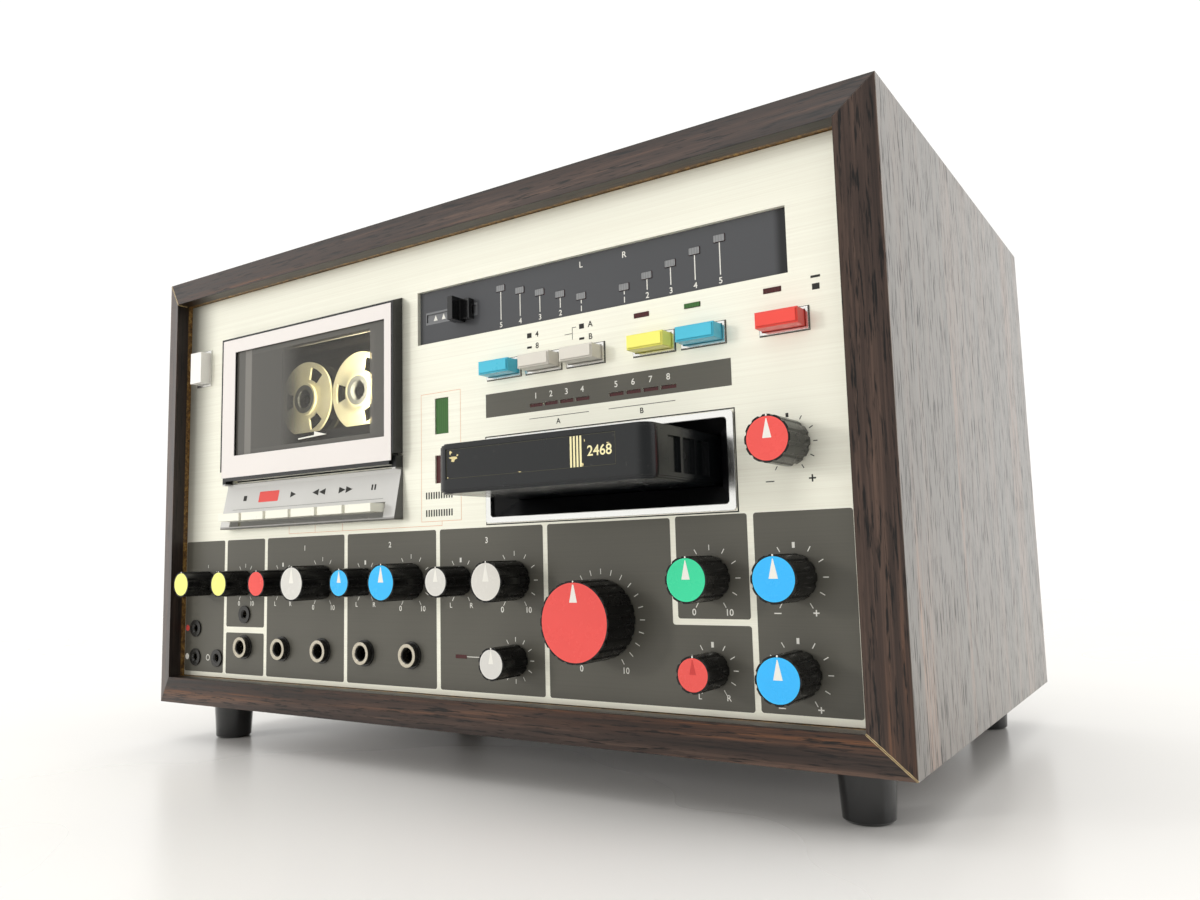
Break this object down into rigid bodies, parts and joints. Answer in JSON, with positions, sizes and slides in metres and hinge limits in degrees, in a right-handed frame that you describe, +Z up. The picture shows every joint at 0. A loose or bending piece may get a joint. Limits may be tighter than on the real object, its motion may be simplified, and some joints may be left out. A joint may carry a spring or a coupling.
{
  "type": "8 track player",
  "caption": "Table-top 8 track and cassette player in a mitred wooden cabinet, with colour-capped knobs, push buttons, jacks and a level display.",
  "frame": {"origin": "middle of the bounding box's bottom face, on the surface under the feet", "axes": "+Z up, the front panel faces -Y, +X to the right as seen from the front"},
  "size_m": [0.43, 0.307, 0.268],
  "materials": {
    "rosewood_vinyl": "satin",
    "black_gloss": "gloss",
    "brushed_aluminium": "brushed",
    "grey_display": "gloss",
    "red_lens": "gloss",
    "satin_chrome": "satin",
    "black_plastic": "satin",
    "cartridge_shell": "satin",
    "zinc_sheet": "satin",
    "dark_steel": "matte",
    "circuit_board": "satin",
    "motor_steel": "satin",
    "brass": "polished",
    "belt_rubber": "matte",
    "flywheel_steel": "turned",
    "nickel": "polished",
    "pressed_board": "matte",
    "silver_plastic": "satin",
    "white_plastic": "gloss",
    "smoked_window": "gloss",
    "cassette_grey": "gloss",
    "cream_plastic": "satin",
    "blue_plastic": "gloss",
    "yellow_plastic": "gloss",
    "red_plastic": "gloss",
    "cream_button": "gloss"
  },
  "bodies": {
    "cabinet": {"cabinet_top": "rosewood_vinyl", "cabinet_bottom": "rosewood_vinyl", "cabinet_left": "rosewood_vinyl", "cabinet_right": "rosewood_vinyl", "back_panel": "pressed_board", "back_screws": "nickel", "feet": "black_gloss", "front_panel": "brushed_aluminium", "chassis": "zinc_sheet", "transformer": "dark_steel", "main_board": "circuit_board", "level_window": "grey_display", "led_lenses": "red_lens", "cartridge_bezel": "satin_chrome", "cartridge_guide": "black_plastic", "deck_motor": "motor_steel", "drive_belt": "belt_rubber", "jack_sockets": "nickel", "potentiometers": "zinc_sheet", "rear_fittings": "black_plastic", "button_bezels": "satin_chrome", "key_housing": "silver_plastic", "cassette_well": "black_plastic"},
    "door": {"cassette_door": "white_plastic", "cassette_window": "smoked_window", "cassette_shell": "cassette_grey"},
    "reel_left": {"reel_left": "cream_plastic"},
    "reel_right": {"reel_right": "cream_plastic"},
    "eject": {"eject_button": "white_plastic"},
    "slider": {"level_slider": "black_gloss"},
    "cartridge": {"cartridge": "cartridge_shell"},
    "flywheel": {"capstan_flywheel": "flywheel_steel"},
    "pulley": {"motor_pulley": "brass"},
    "mode_selector_body": {"mode_selector": "black_plastic"},
    "earphone_volume_knob_body": {"earphone_volume_knob": "black_plastic"},
    "mic1_pan_knob_body": {"mic1_pan_knob": "black_plastic"},
    "mic1_volume_knob_body": {"mic1_volume_knob": "black_plastic"},
    "mic2_pan_knob_body": {"mic2_pan_knob": "black_plastic"},
    "mic2_volume_knob_body": {"mic2_volume_knob": "black_plastic"},
    "wireless_pan_knob_body": {"wireless_pan_knob": "black_plastic"},
    "wireless_volume_knob_body": {"wireless_volume_knob": "black_plastic"},
    "tuning_knob_body": {"tuning_knob": "black_plastic"},
    "master_volume_knob_body": {"master_volume_knob": "black_plastic"},
    "echo_knob_body": {"echo_knob": "black_plastic"},
    "balance_knob_body": {"balance_knob": "black_plastic"},
    "treble_knob_body": {"treble_knob": "black_plastic"},
    "bass_knob_body": {"bass_knob": "black_plastic"},
    "speed_knob_body": {"speed_knob": "black_plastic"},
    "program_button_body": {"program_button": "blue_plastic"},
    "tape_button_body": {"tape_button": "cream_button"},
    "channel_button_body": {"channel_button": "cream_button"},
    "cue_button_body": {"cue_button": "yellow_plastic"},
    "start_button_body": {"start_button": "blue_plastic"},
    "power_button_body": {"power_button": "red_plastic"},
    "key_stop_body": {"key_stop": "white_plastic"},
    "key_record_body": {"key_record": "white_plastic"},
    "key_play_body": {"key_play": "white_plastic"},
    "key_rewind_body": {"key_rewind": "white_plastic"},
    "key_forward_body": {"key_forward": "white_plastic"},
    "key_pause_body": {"key_pause": "white_plastic"}
  },
  "joints": [
    {"name": "mode_selector_turn", "type": "hinge", "parent": "cabinet", "child": "mode_selector_body", "pos_m": [-0.1788, -0.108, 0.089], "axis": [0, 1, 0], "range_deg": [-60, 60]},
    {"name": "earphone_volume_knob_turn", "type": "hinge", "parent": "cabinet", "child": "earphone_volume_knob_body", "pos_m": [-0.1449, -0.108, 0.089], "axis": [0, 1, 0], "range_deg": [-150, 150]},
    {"name": "mic1_pan_knob_turn", "type": "hinge", "parent": "cabinet", "child": "mic1_pan_knob_body", "pos_m": [-0.1132, -0.108, 0.089], "axis": [0, 1, 0], "range_deg": [-150, 150]},
    {"name": "mic1_volume_knob_turn", "type": "hinge", "parent": "cabinet", "child": "mic1_volume_knob_body", "pos_m": [-0.0818, -0.108, 0.089], "axis": [0, 1, 0], "range_deg": [-150, 150]},
    {"name": "mic2_pan_knob_turn", "type": "hinge", "parent": "cabinet", "child": "mic2_pan_knob_body", "pos_m": [-0.0504, -0.108, 0.089], "axis": [0, 1, 0], "range_deg": [-150, 150]},
    {"name": "mic2_volume_knob_turn", "type": "hinge", "parent": "cabinet", "child": "mic2_volume_knob_body", "pos_m": [-0.019, -0.108, 0.089], "axis": [0, 1, 0], "range_deg": [-150, 150]},
    {"name": "wireless_pan_knob_turn", "type": "hinge", "parent": "cabinet", "child": "wireless_pan_knob_body", "pos_m": [0.0124, -0.108, 0.089], "axis": [0, 1, 0], "range_deg": [-150, 150]},
    {"name": "wireless_volume_knob_turn", "type": "hinge", "parent": "cabinet", "child": "wireless_volume_knob_body", "pos_m": [0.0438, -0.108, 0.089], "axis": [0, 1, 0], "range_deg": [-150, 150]},
    {"name": "tuning_knob_turn", "type": "hinge", "parent": "cabinet", "child": "tuning_knob_body", "pos_m": [0.0438, -0.108, 0.0545], "axis": [0, 1, 0], "range_deg": [-150, 150]},
    {"name": "master_volume_knob_turn", "type": "hinge", "parent": "cabinet", "child": "master_volume_knob_body", "pos_m": [0.0892, -0.108, 0.0728], "axis": [0, 1, 0], "range_deg": [-150, 150]},
    {"name": "echo_knob_turn", "type": "hinge", "parent": "cabinet", "child": "echo_knob_body", "pos_m": [0.1394, -0.108, 0.089], "axis": [0, 1, 0], "range_deg": [-150, 150]},
    {"name": "balance_knob_turn", "type": "hinge", "parent": "cabinet", "child": "balance_knob_body", "pos_m": [0.1394, -0.108, 0.0545], "axis": [0, 1, 0], "range_deg": [-150, 150]},
    {"name": "treble_knob_turn", "type": "hinge", "parent": "cabinet", "child": "treble_knob_body", "pos_m": [0.1738, -0.108, 0.089], "axis": [0, 1, 0], "range_deg": [-150, 150]},
    {"name": "bass_knob_turn", "type": "hinge", "parent": "cabinet", "child": "bass_knob_body", "pos_m": [0.1738, -0.108, 0.0545], "axis": [0, 1, 0], "range_deg": [-150, 150]},
    {"name": "speed_knob_turn", "type": "hinge", "parent": "cabinet", "child": "speed_knob_body", "pos_m": [0.1738, -0.108, 0.1382], "axis": [0, 1, 0], "range_deg": [-150, 150]},
    {"name": "program_button_press", "type": "slide", "parent": "cabinet", "child": "program_button_body", "axis": [0, 1, 0], "range_m": [0, 0.004], "stiffness_N_per_m": 150, "springref_m": -0.002},
    {"name": "tape_button_press", "type": "slide", "parent": "cabinet", "child": "tape_button_body", "axis": [0, 1, 0], "range_m": [0, 0.004], "stiffness_N_per_m": 150, "springref_m": -0.002},
    {"name": "channel_button_press", "type": "slide", "parent": "cabinet", "child": "channel_button_body", "axis": [0, 1, 0], "range_m": [0, 0.004], "stiffness_N_per_m": 150, "springref_m": -0.002},
    {"name": "cue_button_press", "type": "slide", "parent": "cabinet", "child": "cue_button_body", "axis": [0, 1, 0], "range_m": [0, 0.004], "stiffness_N_per_m": 150, "springref_m": -0.002},
    {"name": "start_button_press", "type": "slide", "parent": "cabinet", "child": "start_button_body", "axis": [0, 1, 0], "range_m": [0, 0.004], "stiffness_N_per_m": 150, "springref_m": -0.002},
    {"name": "power_button_press", "type": "slide", "parent": "cabinet", "child": "power_button_body", "axis": [0, 1, 0], "range_m": [0, 0.004], "stiffness_N_per_m": 150, "springref_m": -0.002},
    {"name": "eject_press", "type": "slide", "parent": "cabinet", "child": "eject", "axis": [0, 1, 0], "range_m": [0, 0.005], "stiffness_N_per_m": 150, "springref_m": -0.002},
    {"name": "key_stop_press", "type": "hinge", "parent": "cabinet", "child": "key_stop_body", "pos_m": [-0.1428, -0.078, 0.1226], "axis": [1, 0, 0], "range_deg": [0, 4], "stiffness_Nm_per_rad": 0.02, "springref_deg": -17.19},
    {"name": "key_record_press", "type": "hinge", "parent": "cabinet", "child": "key_record_body", "pos_m": [-0.1226, -0.078, 0.1226], "axis": [1, 0, 0], "range_deg": [0, 4], "stiffness_Nm_per_rad": 0.02, "springref_deg": -17.19},
    {"name": "key_play_press", "type": "hinge", "parent": "cabinet", "child": "key_play_body", "pos_m": [-0.1024, -0.078, 0.1226], "axis": [1, 0, 0], "range_deg": [0, 4], "stiffness_Nm_per_rad": 0.02, "springref_deg": -17.19},
    {"name": "key_rewind_press", "type": "hinge", "parent": "cabinet", "child": "key_rewind_body", "pos_m": [-0.0822, -0.078, 0.1226], "axis": [1, 0, 0], "range_deg": [0, 4], "stiffness_Nm_per_rad": 0.02, "springref_deg": -17.19},
    {"name": "key_forward_press", "type": "hinge", "parent": "cabinet", "child": "key_forward_body", "pos_m": [-0.062, -0.078, 0.1226], "axis": [1, 0, 0], "range_deg": [0, 4], "stiffness_Nm_per_rad": 0.02, "springref_deg": -17.19},
    {"name": "key_pause_press", "type": "hinge", "parent": "cabinet", "child": "key_pause_body", "pos_m": [-0.0418, -0.078, 0.1226], "axis": [1, 0, 0], "range_deg": [0, 4], "stiffness_Nm_per_rad": 0.02, "springref_deg": -17.19},
    {"name": "door_open", "type": "hinge", "parent": "cabinet", "child": "door", "pos_m": [-0.0923, -0.111, 0.1475], "axis": [1, 0, 0], "range_deg": [0, 40]},
    {"name": "reel_left_turn", "type": "hinge", "parent": "door", "child": "reel_left", "pos_m": [-0.11025, -0.0965, 0.1885], "axis": [0, 1, 0], "continuous": true},
    {"name": "reel_right_turn", "type": "hinge", "parent": "door", "child": "reel_right", "pos_m": [-0.06775, -0.0965, 0.1885], "axis": [0, 1, 0], "continuous": true},
    {"name": "level_slide", "type": "slide", "parent": "cabinet", "child": "slider", "axis": [1, 0, 0], "range_m": [-0.014, 0]},
    {"name": "cartridge_out", "type": "slide", "parent": "cabinet", "child": "cartridge", "axis": [0, -1, 0], "range_m": [0, 0.09]},
    {"name": "flywheel_turn", "type": "hinge", "parent": "cabinet", "child": "flywheel", "pos_m": [0.1184, -0.0178, 0.111], "axis": [0, 0, 1], "continuous": true},
    {"name": "pulley_turn", "type": "hinge", "parent": "cabinet", "child": "pulley", "pos_m": [0.0284, 0.0162, 0.111], "axis": [0, 0, 1], "continuous": true}
  ],
  "couplings": [
    {"joint": "pulley_turn", "follows": "flywheel_turn", "ratio": 6.1724},
    {"joint": "reel_right_turn", "follows": "reel_left_turn", "ratio": 1}
  ]
}
